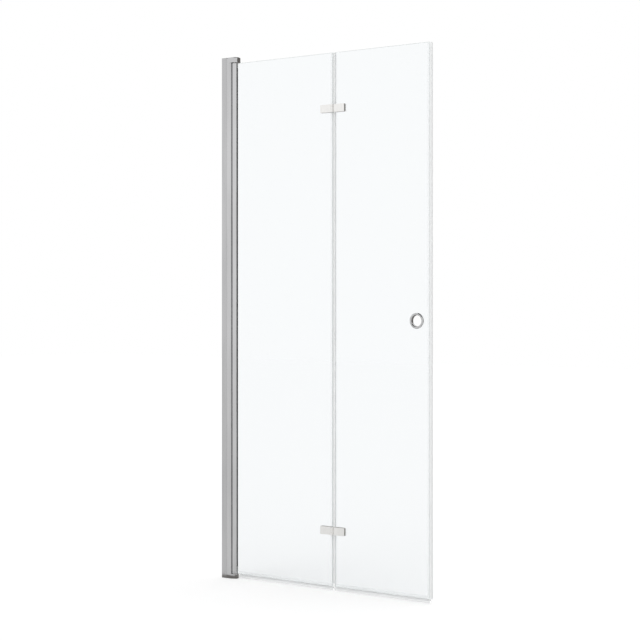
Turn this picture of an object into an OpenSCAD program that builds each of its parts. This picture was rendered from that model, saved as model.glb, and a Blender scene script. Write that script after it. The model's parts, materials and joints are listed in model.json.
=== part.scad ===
// Frameless bifold shower door, two toughened glass leaves hung on a wall profile.
// X runs from the wall along the opening, -Y is the dry side, +Y is inside the shower, Z is up.
// The origin is on the wall plane, in the middle plane of the glass, at the level of the tray.

/* [Door] */
// Height of the wall profile from the tray to its top
door_h = 1850; // [1600:1:2100]
// Distance from the wall to the free edge of the second leaf
door_w = 860; // [700:1:1000]
// Thickness of the toughened glass
glass_t = 6; // [5:0.5:8]
// Height of the lower edge of the glass above the tray
glass_z0 = 17.5; // [16:0.5:25]
// Gap between the upper edge of the glass and the underside of the top cap
glass_top_gap = 2; // [1:0.5:6]
// Distance from the wall to the seam between the two leaves
seam_x = 473.5; // [380:0.5:540]
// Gap between the two panes at the seam
seam_gap = 9; // [8:0.5:14]

/* [Wall channel] */
// Depth of the wall channel and of the frame profile across the glass
channel_d = 32; // [30:0.5:40]
// Width of the channel's side walls, out from the wall
channel_w = 22; // [18:0.5:28]
// Thickness of the channel's web against the wall
channel_web = 2; // [1.5:0.1:3]
// Thickness of the channel's side walls
channel_wall = 1.5; // [1.2:0.1:2]
// Diameter of the wall screw holes
wall_hole_d = 6.4; // [4:0.1:8]
// Distance between the outer pair of wall screw holes
wall_hole_outer = 1640; // [1200:1:1700]
// Distance between the inner pair of wall screw holes
wall_hole_inner = 560; // [300:1:900]

/* [Frame profile] */
// Distance from the wall to the face of the frame profile that the pivot profile turns in
frame_x1 = 41.2; // [36:0.1:42]
// Distance from the wall to the ends of the legs that slide in the channel
frame_x0 = 7; // [6:0.1:10]
// Wall thickness of the frame profile
frame_wall = 1.6; // [1.2:0.1:2.2]
// Sliding clearance between the legs and the channel
slide_gap = 0.2; // [0.1:0.05:0.4]
// Running gap between the pivot profile and the cove that it turns in
cove_gap = 1; // [0.6:0.1:1.5]
// Distance between the screw ports of the frame profile
port_pitch = 17; // [15:0.5:18]
// Diameter of the core hole in each screw port
port_core_d = 3.4; // [3:0.1:4]
// Wall thickness round each screw port
port_wall = 1.4; // [1:0.1:1.6]

/* [Pivot] */
// Distance from the wall to the pivot axis
pivot_x = 47; // [44:0.5:50]
// Diameter of the round pivot profile
pivot_d = 24.4; // [23:0.1:28]
// Wall thickness of the pivot profile
pivot_wall = 1.6; // [1.2:0.1:2]
// Depth of the glazing slot behind the pivot axis
slot_back = 4.5; // [4:0.1:5]
// Diameter of the steel pivot pins
pin_d = 6; // [5:0.1:7]
// Length of pin in each bush
pin_reach = 11; // [8:0.5:12]
// Depth of the spigots of the end plugs in the pivot profile
spigot_h = 15; // [10:0.5:25]
// Thickness of the top end plug's collar
top_collar_h = 2; // [1.8:0.1:4]
// Thickness of the bottom end plug's collar
bottom_collar_h = 8; // [5:0.5:12]
// Radial clearance between a pin and its bush
pin_clear = 0.05; // [0.02:0.01:0.1]
// Clearance between the thrust faces of the pivots
thrust_gap = 0.1; // [0.05:0.05:0.3]

/* [Pivot caps] */
// Height of the top cap
top_cap_h = 19; // [17:0.5:26]
// Height of the bottom cap
bottom_cap_h = 17; // [15:0.5:22]
// Radius of the top cap's nose
top_nose_r = 19; // [15:0.5:21]
// Radius of the bottom cap's nose
bottom_nose_r = 13; // [12.5:0.5:16]
// Rounding of the caps' outer edges
cap_round = 2.5; // [1:0.1:3.5]
// Thickness of the bush flanges
bush_flange = 1.2; // [0.8:0.1:2]
// Diameter of the bush flanges
bush_flange_d = 13; // [12:0.5:14]
// Wall thickness of the bushes
bush_wall = 1.9; // [1.2:0.1:2.5]

/* [Hinges] */
// Height of each glass hinge
hinge_h = 27; // [22:0.5:40]
// Length of each hinge wing from the hinge axis
wing_l = 49; // [44:0.5:60]
// Distance from the end of the glass to the middle of each hinge
hinge_inset = 190; // [120:1:400]
// Thickness of the front wings
wing_t = 9.5; // [8:0.1:12]
// Thickness of the clamp plates behind the glass
clamp_t = 6; // [4:0.1:8]
// Length of each clamp plate from the hinge axis
clamp_l = 39; // [38:0.5:49]
// Height of each clamp plate
clamp_h = 23; // [18:0.5:27]
// Thickness of the hinge gaskets
gasket_t = 1; // [0.5:0.1:1.5]
// Outer radius of the hinge knuckles
knuckle_r = 5.5; // [5:0.1:6]
// Distance from the front of the wings to the hinge axis
axis_proud = 0.5; // [0.4:0.1:2]
// Gap between the knuckles and the end of the opposite wing
knuckle_gap = 0.7; // [0.5:0.1:1.5]
// Diameter of the hinge pins
hinge_pin_d = 5; // [4:0.1:6]
// Thickness of the washers between the knuckles
washer_t = 0.8; // [0.5:0.1:1.5]
// Distance from the hinge axis to the nearer clamp screw
hinge_screw_a = 17; // [15:0.5:20]
// Distance from the hinge axis to the farther clamp screw
hinge_screw_b = 33; // [31:0.5:33]
// Diameter of the clamp screws
hinge_screw_d = 4.8; // [4:0.1:5.5]
// Diameter of the holes in the glass
glass_hole_d = 10; // [9:0.5:12]

/* [Seals] */
// Wall thickness of the clear seals
seal_t = 1.2; // [0.8:0.1:1.4]
// Length of the centre seal's legs on the first pane
centre_leg_a = 9; // [7:0.5:10]
// Length of the centre seal's legs on the second pane
centre_leg_b = 6.5; // [5:0.5:9]
// Outer radius of the centre seal's hollow bulb
bulb_r = 2.9; // [2.5:0.1:3.2]
// Height of the bottom seals' legs on the glass
bottom_leg = 10.5; // [8:0.5:14]
// Height of the wiper blade below the glass
wiper_h = 12; // [8:0.5:13]
// Reach of the drip fin into the shower
fin_reach = 9; // [6:0.5:10]
// Distance from the pivot axis to the start of the first bottom seal
seal_start = 19.5; // [18:0.5:26]
// Length of the free edge seal's legs on the glass
edge_leg = 9; // [6:0.5:12]
// Width of the free edge seal's magnet pocket
pocket_w = 9; // [7:0.5:12]
// Depth of the free edge seal's magnet pocket across the glass
pocket_d = 10; // [9:0.5:14]

/* [Ring handle] */
// Outer diameter of the ring handle
ring_od = 52; // [48:0.5:60]
// Diameter of the finger hole through the ring handle
ring_id = 37; // [30:0.5:40]
// Thickness of the front ring
ring_t = 4.4; // [3:0.1:8]
// Outer diameter of the ring behind the glass
back_ring_od = 46; // [44:0.5:52]
// Thickness of the ring behind the glass
back_ring_t = 1.4; // [1.2:0.1:4]
// Distance from the free edge of the door to the middle of the ring
ring_inset = 57.5; // [46:0.5:80]
// Height of the middle of the ring above the tray
ring_z = 922; // [700:1:1200]
// Wall thickness of the sleeve through the glass
sleeve_wall = 1.4; // [1:0.1:2]

/* [Hidden] */
$fn = 48;
// How far a cutting shape runs past what it cuts, and how far joined shapes overlap
CUT = 1;
EPS = 0.01;
// Sides of a hexagon socket
HEX = 6;
cap_fn = 64;
cap_edge_fn = 32;
ring_fn = 96;

// Clearances: pieces that seat, pins pressed in, threads, holes that a screw passes through
seat_clear = 0.05;
press_clear = 0.02;
thread_clear = 0.03;
free_clear = 0.2;
// Depth of a socket as a share of its screw head's height
socket_share = 0.7;

glass_f = glass_t / 2;
glass_z1 = door_h - top_cap_h - glass_top_gap;

// Frame profile
half_d = channel_d / 2;
leg_y = half_d - channel_wall - slide_gap;
shoulder_gap = 0.3;
shoulder_x = channel_w + shoulder_gap;
cross_web_x = shoulder_x + frame_wall;
horn_l = 4.5;
horn_x = frame_x1 - horn_l;
// How far round the cove the middle share of its wall reaches either way, in degrees
cove_share = 21.3;
profile_z0 = bottom_cap_h;
profile_z1 = door_h - top_cap_h;
port_standoff = 1.5;
port_rib = 2;
port_core_r = port_core_d / 2;
port_x = cross_web_x + port_core_r + port_wall + port_standoff;
port_y = port_pitch / 2;
cap_screw_r = port_core_r - seat_clear;
cap_screw_head_r = 3.4;
cap_screw_bite = 15;
cap_socket_r = 1.3;
cap_tongue_gap = 1;
top_blend_x = shoulder_x + 6;
bottom_blend_x = frame_x1 - 3;

// Screws that clamp the frame profile in the channel, and their covers
clamp_screw_inset = 250;
clamp_screw_z = [clamp_screw_inset, door_h / 2, door_h - clamp_screw_inset];
clamp_screw_x = 14;
clamp_screw_r = 1.95;
clamp_screw_tip = 3;
clamp_head_r = 3.6;
clamp_head_h = 2.3;
clamp_socket_r = 1.6;
cover_r = 6;
cover_h = 4;
cover_wall = 1.2;
cover_round = 1.5;

// Pivot profile, its glazing slot and the screw ports of its end plugs
pivot_r = pivot_d / 2;
cove_r = pivot_r + cove_gap;
gasket_side = 1.45;
slot_y = glass_f + gasket_side + seat_clear;
slot_x0 = pivot_x - slot_back;
slot_x1 = pivot_x + sqrt(pow(pivot_r, 2) - pow(slot_y, 2));
slot_lip = 0.5;
glass_back_gap = 0.4;
glass_a_x0 = slot_x0 + gasket_side + glass_back_gap;
notch_gap = 0.2;
notch_x = pivot_x + pivot_r + notch_gap;
plug_port_r = 1.6;
plug_port_boss = 2.9;
plug_port_back = 2;
plug_port_merge = 0.8;
plug_port_x = pivot_x - plug_port_back;
plug_port_y = slot_y + pivot_wall + plug_port_boss - plug_port_merge;
plug_screw_r = plug_port_r - seat_clear;
plug_screw_bite = 14;
plug_head_r = 2.6;
plug_socket_r = 1;

// Soft lip in the inner horn of the cove
gap_bead_r = 1.1;
gap_neck = 1.2;
gap_bead_in = 1.7;
gap_bead_clear = 0.08;
gap_slot_x = frame_x1 - gap_bead_in;
cove_edge_y = sqrt(pow(cove_r, 2) - pow(pivot_x - frame_x1, 2));
gap_slot_y = (cove_edge_y + half_d) / 2;
lip_back = 4;
lip_gap = 0.5;
lip_root = 1.1;
lip_tip_x = 0.3;
lip_tip_y = 0.5;

// Heights of the pivots
bottom_thrust_z = bottom_cap_h + bush_flange;
foot_z0 = bottom_thrust_z + thrust_gap;
pivot_z0 = foot_z0 + bottom_collar_h;
top_thrust_z = profile_z1 - bush_flange;
head_gap = 0.3;
head_z1 = top_thrust_z - head_gap;
pivot_z1 = head_z1 - top_collar_h;
tongue_gap = 1;
tongue_z0 = pivot_z0 + spigot_h + tongue_gap;
tongue_z1 = pivot_z1 - spigot_h - tongue_gap;
pin_r = pin_d / 2;
pin_chamfer = 0.8;
pin_floor = 1;
pin_end_gap = 1;
bush_bore_r = pin_r + pin_clear;
bush_r = bush_bore_r + bush_wall;
bush_l = pin_reach + pin_end_gap;
bush_end_gap = 0.5;

// Panes at the seam and at the free edge
web_clear = 0.1;
glass_a_x1 = seam_x - seam_gap / 2;
glass_b_x0 = seam_x + seam_gap / 2;
glass_b_x1 = door_w - pocket_w - web_clear;

// Hinges, with the seam at x = 0
wing_y1 = -glass_f - gasket_t;
wing_y0 = wing_y1 - wing_t;
axis_y = wing_y0 - axis_proud;
wing_x = knuckle_r + knuckle_gap;
arm_back = 1.5;
knuckle_h = (hinge_h - 2 * washer_t) / 3;
hinge_z = [glass_z0 + hinge_inset, glass_z1 - hinge_inset];
hinge_screw_at = [hinge_screw_a, hinge_screw_b];
hinge_screw_r = hinge_screw_d / 2;
hinge_pin_r = hinge_pin_d / 2;
corner_r = 2;
clamp_y0 = glass_f + gasket_t;
clamp_y1 = clamp_y0 + clamp_t;
wing_face_t = 2.5;
screw_depth = wing_t - wing_face_t;
screw_end_gap = 0.5;
hinge_head_h = 2.6;
countersink_r = hinge_screw_r + hinge_head_h;
hinge_socket_r = 1.7;
gasket_inset = 0.4;
sleeve_gap = 0.1;
washer_in = 0.3;
washer_clear = 0.1;

// Seals
seal_y = glass_f + seat_clear;
seal_out = seal_y + seal_t;
seal_end_gap = 0.2;
hinge_clear = 0.5;
centre_z0 = glass_z0 + bottom_leg + seal_end_gap;
bulb_wall = 0.7;
bulb_neck = 2.4;
bulb_gap = 0.3;
bulb_x = glass_b_x0 - web_clear - seal_t - bulb_gap - bulb_r;
bottom_web_z1 = glass_z0 - web_clear;
bottom_web_z0 = bottom_web_z1 - seal_t;
bottom_a_x0 = pivot_x + seal_start;
bottom_a_x1 = glass_a_x1 + web_clear + seal_t;
bottom_b_x0 = glass_b_x0 - web_clear - seal_t;
wiper_back = 1.5;
fin_drop = 7;
fin_tip = 1;
edge_seal_x0 = glass_b_x1 - edge_leg;
magnet_clear = 0.1;
magnet_inset = 2;

// Ring handle
ring_x = door_w - ring_inset;
ring_r = ring_od / 2;
ring_hole_r = ring_id / 2;
sleeve_r = ring_hole_r + sleeve_wall;
glass_ring_gap = 1;
glass_ring_r = sleeve_r + glass_ring_gap;
ring_round_share = 0.48;
ring_rim = 0.2;
ring_round = min(ring_round_share * (ring_r - ring_hole_r), ring_t - ring_rim);
back_ring_r = back_ring_od / 2;
back_ring_round = 0.7;
back_face_t = 0.6;
ring_gasket_t = 0.5;
ring_gasket_in = 0.6;

alu = "#c9ccd0";
alu_dark = "#b4b7bb";
chrome = "#dfe2e6";
steel = "#a9adb2";
nylon = "#f1efe8";
rubber = "#3b3d40";
clear = "#e6eef2cc";
pane = "#dfeef266";

// ---- shared shapes ----

// An outline in X and Y, raised from z0 to z1
module upright(z0, z1) {
    translate([0, 0, z0])
        linear_extrude(z1 - z0)
            children();
}

// An outline in X and Z, thickened from y0 to y1
module sheet(y0, y1) {
    translate([0, y1, 0])
        rotate([90, 0, 0])
            linear_extrude(y1 - y0)
                children();
}

// A round bar across the glass, from y0 to y1
module cross_bar(x, z, y0, y1, r) {
    translate([x, y1, z])
        rotate([90, 0, 0])
            cylinder(r = r, h = y1 - y0);
}

// A rectangle from corner to corner
module box2(x0, x1, y0, y1) {
    translate([x0, y0])
        square([x1 - x0, y1 - y0]);
}

// The same rectangle with round corners
module soft_box2(x0, x1, y0, y1, r) {
    box2(x0 + r, x1 - r, y0, y1);
    box2(x0, x1, y0 + r, y1 - r);
    for (x = [x0 + r, x1 - r], y = [y0 + r, y1 - r])
        translate([x, y])
            circle(r);
}

// A screw along -Z with a right-angled countersunk head, its face at z = 0
module countersunk_screw(r, head_r, l, socket_r) {
    head_h = head_r - r;
    difference() {
        union() {
            translate([0, 0, -head_h])
                cylinder(r1 = r, r2 = head_r, h = head_h);
            translate([0, 0, -l])
                cylinder(r = r, h = l - head_h + EPS);
        }
        translate([0, 0, -head_h * socket_share])
            cylinder(r = socket_r, h = head_h, $fn = HEX);
    }
}

// The room that such a screw's head takes, open above
module countersink(r, head_r) {
    head_h = head_r - r;
    translate([0, 0, -head_h])
        cylinder(r1 = r + seat_clear, r2 = head_r + seat_clear, h = head_h);
    cylinder(r = head_r + seat_clear, h = CUT);
}

// ---- wall side ----

// Each aluminium extrusion is drawn as a few simple solids that meet face to face

// Web of the wall channel
module wall_channel() {
    color(alu)
        difference() {
            upright(0, door_h)
                box2(0, channel_web, -half_d, half_d);
            for (pitch = [wall_hole_outer, wall_hole_inner], s = [-1, 1])
                translate([-CUT, 0, door_h / 2 + s * pitch / 2])
                    rotate([0, 90, 0])
                        cylinder(d = wall_hole_d, h = channel_web + 2 * CUT);
        }
}

// Both side walls of the wall channel
module channel_sides() {
    color(alu)
        difference() {
            upright(0, door_h)
                for (y = [-half_d, half_d - channel_wall])
                    box2(channel_web, channel_w, y, y + channel_wall);
            for (z = clamp_screw_z)
                cross_bar(clamp_screw_x, z, half_d - channel_wall - CUT, half_d + CUT,
                    clamp_screw_r + free_clear);
        }
}

// The curved wall of the cove that the pivot profile turns in
module cove_wall_section() {
    translate([pivot_x, 0])
        difference() {
            circle(cove_r + frame_wall);
            circle(cove_r);
        }
}

// The wedge that parts the middle share of the cove's wall from the two horns' shares
module cove_wedge() {
    reach = 2 * cove_r;
    translate([pivot_x, 0])
        polygon([
            [0, 0],
            [-reach * cos(cove_share), reach * sin(cove_share)],
            [-reach * cos(cove_share), -reach * sin(cove_share)]
        ]);
}

// Both horns beside the cove, each with its share of the cove's wall
module horns_section() {
    difference() {
        union() {
            box2(horn_x, frame_x1, -half_d, half_d);
            intersection() {
                cove_wall_section();
                box2(cross_web_x, frame_x1, -half_d, half_d);
            }
        }
        translate([pivot_x, 0])
            circle(cove_r);
        cove_wedge();
        gap_slot(0);
    }
}

// Slot in the inner horn for the gap seal, or the seal's root when drawn smaller
module gap_slot(less) {
    neck = gap_neck / 2 - less;
    translate([gap_slot_x, gap_slot_y])
        circle(gap_bead_r - less);
    box2(gap_slot_x, frame_x1 + CUT - less, gap_slot_y - neck, gap_slot_y + neck);
}

// Cross web, and the middle share of the cove's wall
module frame_profile() {
    color(alu_dark)
        upright(profile_z0, profile_z1) {
            box2(shoulder_x, cross_web_x, -half_d, half_d);
            intersection() {
                cove_wall_section();
                cove_wedge();
            }
        }
}

// Two screw ports, each on a rib that stands on the cross web
module frame_ports() {
    color(alu_dark)
        upright(profile_z0, profile_z1)
            for (s = [-1, 1])
                difference() {
                    union() {
                        translate([port_x, s * port_y])
                            circle(port_core_r + port_wall);
                        box2(cross_web_x, port_x, s * port_y - port_rib / 2, s * port_y + port_rib / 2);
                    }
                    translate([port_x, s * port_y])
                        circle(port_core_r);
                }
}

module frame_horns() {
    color(alu_dark)
        upright(profile_z0, profile_z1)
            horns_section();
}

// The flat walls: legs that slide between the channel's side walls, and the sides of the chamber
module frame_walls() {
    color(alu_dark)
        difference() {
            upright(profile_z0, profile_z1) {
                for (y = [-leg_y, leg_y - frame_wall])
                    box2(frame_x0, shoulder_x, y, y + frame_wall);
                for (y = [-half_d, half_d - frame_wall])
                    box2(cross_web_x, horn_x, y, y + frame_wall);
            }
            for (z = clamp_screw_z)
                cross_bar(clamp_screw_x, z, leg_y - frame_wall - CUT, leg_y + CUT,
                    clamp_screw_r + seat_clear);
        }
}

module clamp_screws() {
    color(steel)
        for (z = clamp_screw_z) {
            cross_bar(clamp_screw_x, z, leg_y - frame_wall - clamp_screw_tip, half_d + EPS, clamp_screw_r);
            difference() {
                cross_bar(clamp_screw_x, z, half_d, half_d + clamp_head_h, clamp_head_r);
                translate([clamp_screw_x, half_d + clamp_head_h + CUT, z])
                    rotate([90, 0, 0])
                        cylinder(r = clamp_socket_r, h = clamp_head_h * socket_share + CUT, $fn = HEX);
            }
        }
}

// Domed cover over one clamp screw head
module screw_cover() {
    difference() {
        rotate_extrude()
            intersection() {
                union() {
                    box2(0, cover_r - cover_round, 0, cover_h);
                    box2(0, cover_r, 0, cover_h - cover_round);
                    translate([cover_r - cover_round, cover_h - cover_round])
                        circle(cover_round);
                }
                box2(0, cover_r, 0, cover_h);
            }
        translate([0, 0, -CUT])
            cylinder(r = clamp_head_r + free_clear, h = cover_h - cover_wall + CUT);
    }
}

module clamp_screw_covers() {
    color(alu)
        for (z = clamp_screw_z)
            translate([clamp_screw_x, half_d, z])
                rotate([-90, 0, 0])
                    screw_cover();
}

// Round nose about the pivot axis with its outer edge rounded, outer face up
module nose(r, h) {
    translate([pivot_x, 0, 0])
        rotate_extrude($fn = cap_fn) {
            box2(0, r, 0, h - cap_round);
            box2(0, r - cap_round, 0, h);
            intersection() {
                translate([r - cap_round, h - cap_round])
                    circle(cap_round);
                box2(0, r, 0, h);
            }
        }
}

// A pivot cap with its outer face up and its inner face at z = 0:
// a block that closes the frame profile, blended into the nose, and a tongue in the channel
module pivot_cap(nose_r, h, blend_x) {
    side = half_d - cap_round;
    difference() {
        union() {
            hull() {
                nose(nose_r, h);
                for (s = [-1, 1])
                    translate([shoulder_x, s * side, h - cap_round])
                        rotate([0, 90, 0])
                            cylinder(r = cap_round, h = blend_x - shoulder_x, $fn = cap_edge_fn);
                translate([shoulder_x, -half_d, 0])
                    cube([blend_x - shoulder_x, channel_d, h - cap_round]);
            }
            translate([frame_x0 + cap_tongue_gap, -leg_y, 0])
                cube([shoulder_x - frame_x0 - cap_tongue_gap + EPS, 2 * leg_y, h]);
        }
        translate([pivot_x, 0, -CUT])
            cylinder(r = bush_r + seat_clear, h = bush_l + bush_end_gap + CUT);
        for (s = [-1, 1])
            translate([port_x, s * port_y, 0]) {
                translate([0, 0, -CUT])
                    cylinder(r = cap_screw_r + free_clear, h = h + 2 * CUT);
                translate([0, 0, h])
                    countersink(cap_screw_r, cap_screw_head_r);
            }
    }
}

module top_cap() {
    color(chrome)
        translate([0, 0, profile_z1])
            pivot_cap(top_nose_r, top_cap_h, top_blend_x);
}

module bottom_cap() {
    color(chrome)
        translate([0, 0, profile_z0])
            mirror([0, 0, 1])
                pivot_cap(bottom_nose_r, bottom_cap_h, bottom_blend_x);
}

module cap_screws() {
    color(steel)
        for (s = [-1, 1]) {
            translate([port_x, s * port_y, door_h])
                cap_screw(top_cap_h);
            translate([port_x, s * port_y, 0])
                mirror([0, 0, 1])
                    cap_screw(bottom_cap_h);
        }
}

// One cap screw along -Z, past a cap of the given height and into its port
module cap_screw(through) {
    countersunk_screw(cap_screw_r, cap_screw_head_r, through + cap_screw_bite, cap_socket_r);
}

// Flanged bush with its flange's outer face at z = 0 and its sleeve downwards
module bush() {
    translate([pivot_x, 0, 0])
        rotate_extrude() {
            box2(bush_bore_r, bush_flange_d / 2, -bush_flange, 0);
            box2(bush_bore_r, bush_r, -bush_flange - bush_l, 0);
        }
}

module top_bush() {
    color(nylon)
        translate([0, 0, top_thrust_z])
            mirror([0, 0, 1])
                bush();
}

module bottom_bush() {
    color(nylon)
        translate([0, 0, bottom_thrust_z])
            bush();
}

// Soft lip that closes the gap between the inner horn and the pivot profile
module gap_seal() {
    root_x = frame_x1 + seat_clear;
    lip_x = pivot_x - lip_back;
    lip_y = sqrt(pow(pivot_r + lip_gap, 2) - pow(lip_back, 2));
    color(clear)
        upright(profile_z0, profile_z1) {
            gap_slot(gap_bead_clear);
            polygon([
                [root_x, gap_slot_y + lip_root],
                [root_x, gap_slot_y - lip_root],
                [lip_x, lip_y],
                [lip_x + lip_tip_x, lip_y + lip_tip_y]
            ]);
        }
}

// ---- first leaf ----

// Section of the pivot profile: round shell, glazing slot and two screw ports
module pivot_section() {
    translate([pivot_x, 0])
        difference() {
            circle(pivot_r);
            difference() {
                circle(pivot_r - pivot_wall);
                box2(-slot_back - pivot_wall, pivot_r, -slot_y - pivot_wall, slot_y + pivot_wall);
                for (s = [-1, 1])
                    translate([plug_port_x - pivot_x, s * plug_port_y])
                        circle(plug_port_boss);
            }
            box2(-slot_back, pivot_r + CUT, -slot_y, slot_y);
            for (s = [-1, 1])
                translate([plug_port_x - pivot_x, s * plug_port_y])
                    circle(plug_port_r);
        }
}

// Both sides of the pivot profile, beside the glazing slot
module pivot_profile() {
    color(alu)
        upright(pivot_z0, pivot_z1)
            difference() {
                pivot_section();
                box2(pivot_x - pivot_r - CUT, pivot_x + pivot_r + CUT, -slot_y, slot_y);
            }
}

// The strips that join them: the slot's floor, and the back of the round wall
module pivot_webs() {
    color(alu)
        upright(pivot_z0, pivot_z1)
            intersection() {
                pivot_section();
                box2(pivot_x - pivot_r - CUT, pivot_x + pivot_r + CUT, -slot_y, slot_y);
            }
}

// End plug with its collar's inner face at z = 0 and its spigot downwards
module end_plug(collar_h) {
    difference() {
        union() {
            translate([pivot_x, 0, 0])
                cylinder(r = pivot_r, h = collar_h);
            translate([slot_x0 + seat_clear, -slot_y + seat_clear, -spigot_h])
                cube([slot_x1 - slot_lip - slot_x0 - seat_clear, 2 * (slot_y - seat_clear), spigot_h + EPS]);
        }
        translate([pivot_x, 0, -spigot_h + pin_floor])
            cylinder(r = pin_r + press_clear, h = spigot_h + collar_h);
        for (s = [-1, 1])
            translate([plug_port_x, s * plug_port_y, 0]) {
                translate([0, 0, -CUT])
                    cylinder(r = plug_screw_r + free_clear, h = collar_h + 2 * CUT);
                translate([0, 0, collar_h])
                    countersink(plug_screw_r, plug_head_r);
            }
    }
}

module top_end_plug() {
    color(chrome)
        translate([0, 0, pivot_z1])
            end_plug(top_collar_h);
}

module bottom_end_plug() {
    color(chrome)
        translate([0, 0, pivot_z0])
            mirror([0, 0, 1])
                end_plug(bottom_collar_h);
}

// Steel pin with chamfered ends, from z0 to z1
module pivot_pin(z0, z1) {
    translate([pivot_x, 0, 0])
        rotate_extrude()
            polygon([
                [0, z0], [pin_r - pin_chamfer, z0], [pin_r, z0 + pin_chamfer],
                [pin_r, z1 - pin_chamfer], [pin_r - pin_chamfer, z1], [0, z1]
            ]);
}

module top_pivot_pin() {
    color(steel)
        pivot_pin(pivot_z1 - spigot_h + pin_floor, profile_z1 + pin_reach);
}

module bottom_pivot_pin() {
    color(steel)
        pivot_pin(profile_z0 - pin_reach, pivot_z0 + spigot_h - pin_floor);
}

module plug_screws() {
    color(steel)
        for (s = [-1, 1]) {
            translate([plug_port_x, s * plug_port_y, head_z1])
                plug_screw(top_collar_h);
            translate([plug_port_x, s * plug_port_y, foot_z0])
                mirror([0, 0, 1])
                    plug_screw(bottom_collar_h);
        }
}

// One plug screw along -Z, past a collar of the given height and into its port
module plug_screw(through) {
    countersunk_screw(plug_screw_r, plug_head_r, through + plug_screw_bite, plug_socket_r);
}

// Soft channel that wedges the pane in the slot
module glazing_gasket() {
    color(rubber)
        upright(tongue_z0, tongue_z1)
            difference() {
                box2(slot_x0 + seat_clear, slot_x1 - slot_lip, -slot_y + seat_clear, slot_y - seat_clear);
                box2(slot_x0 + gasket_side, slot_x1 + CUT, -seal_y, seal_y);
            }
}

// Holes in a pane for both hinges; side is -1 for the first leaf and 1 for the second
module hinge_holes(side) {
    for (z = hinge_z, d = hinge_screw_at)
        cross_bar(seam_x + side * d, z, -glass_f - CUT, glass_f + CUT, glass_hole_d / 2);
}

module first_glass() {
    color(pane)
        difference() {
            sheet(-glass_f, glass_f)
                union() {
                    box2(notch_x, glass_a_x1, glass_z0, glass_z1);
                    box2(glass_a_x0, notch_x + EPS, tongue_z0, tongue_z1);
                }
            hinge_holes(-1);
        }
}

// ---- hinges, drawn about the seam with the wing towards +X ----

// Plan of a front wing without its knuckle
module wing_plan() {
    difference() {
        box2(wing_x, wing_l, wing_y0, wing_y1);
        difference() {
            box2(wing_l - corner_r, wing_l + CUT, wing_y0 - CUT, wing_y0 + corner_r);
            translate([wing_l - corner_r, wing_y0 + corner_r])
                circle(corner_r);
        }
    }
}

// Plan of a knuckle and the arm that joins it to its wing
module knuckle_plan() {
    translate([0, axis_y])
        circle(knuckle_r);
    box2(0, wing_x + EPS, axis_y + arm_back, axis_y + knuckle_r);
}

// The wing's outline seen from the front keeps its corners round
module wing_outline() {
    box2(-knuckle_r - CUT, wing_l - corner_r, -hinge_h / 2, hinge_h / 2);
    soft_box2(wing_x, wing_l, -hinge_h / 2, hinge_h / 2, corner_r);
}

// Front wing: outer has the two end knuckles, otherwise it has the middle one
module front_wing(outer) {
    h = hinge_h / 2;
    k = knuckle_h / 2;
    zones = outer ? [[-h, -h + knuckle_h], [h - knuckle_h, h]] : [[-k, k]];
    bore_clear = outer ? press_clear : pin_clear;
    difference() {
        intersection() {
            union() {
                upright(-h, h)
                    wing_plan();
                for (zone = zones)
                    upright(zone[0], zone[1])
                        knuckle_plan();
            }
            sheet(axis_y - knuckle_r - CUT, 0)
                wing_outline();
        }
        translate([0, axis_y, -h - CUT])
            cylinder(r = hinge_pin_r + bore_clear, h = hinge_h + 2 * CUT);
        for (d = hinge_screw_at)
            cross_bar(d, 0, wing_y1 - screw_depth - screw_end_gap, wing_y1 + CUT,
                hinge_screw_r + thread_clear);
    }
}

module clamp_plate() {
    difference() {
        sheet(clamp_y0, clamp_y1)
            soft_box2(wing_x, clamp_l, -clamp_h / 2, clamp_h / 2, corner_r);
        for (d = hinge_screw_at) {
            cross_bar(d, 0, clamp_y0 - CUT, clamp_y1 + CUT, hinge_screw_r + free_clear);
            translate([d, clamp_y1, 0])
                rotate([-90, 0, 0])
                    countersink(hinge_screw_r, countersink_r);
        }
    }
}

// Outline of a pad on the glass, a little smaller than the plate that it lies under
module pad_outline(plate_l, plate_h) {
    h = plate_h / 2 - gasket_inset;
    soft_box2(wing_x + gasket_inset, plate_l - gasket_inset, -h, h, corner_r);
}

// Front pad with sleeves that line the holes in the glass, and back pad
module wing_gaskets() {
    difference() {
        union() {
            sheet(-glass_f - gasket_t, -glass_f)
                pad_outline(wing_l, hinge_h);
            for (d = hinge_screw_at)
                cross_bar(d, 0, -glass_f - EPS, glass_f - sleeve_gap, glass_hole_d / 2 - sleeve_gap);
            sheet(glass_f, glass_f + gasket_t)
                pad_outline(clamp_l, clamp_h);
        }
        for (d = hinge_screw_at)
            cross_bar(d, 0, wing_y1 - CUT, clamp_y0 + CUT, hinge_screw_r + free_clear);
    }
}

module wing_screws() {
    for (d = hinge_screw_at)
        translate([d, clamp_y1, 0])
            rotate([-90, 0, 0])
                countersunk_screw(hinge_screw_r, countersink_r,
                    clamp_y1 - wing_y1 + screw_depth, hinge_socket_r);
}

// Puts a hinge piece at the seam, mirrored for the first leaf
module at_hinge(z, side) {
    translate([seam_x, 0, z])
        mirror([side < 0 ? 1 : 0, 0, 0])
            children();
}

module lower_first_wing() {
    color(chrome)
        at_hinge(hinge_z[0], -1)
            front_wing(true);
}

module upper_first_wing() {
    color(chrome)
        at_hinge(hinge_z[1], -1)
            front_wing(true);
}

module lower_first_clamp() {
    color(chrome)
        at_hinge(hinge_z[0], -1)
            clamp_plate();
}

module upper_first_clamp() {
    color(chrome)
        at_hinge(hinge_z[1], -1)
            clamp_plate();
}

module first_hinge_gaskets() {
    color(rubber)
        for (z = hinge_z)
            at_hinge(z, -1)
                wing_gaskets();
}

module first_hinge_screws() {
    color(steel)
        for (z = hinge_z)
            at_hinge(z, -1)
                wing_screws();
}

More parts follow.
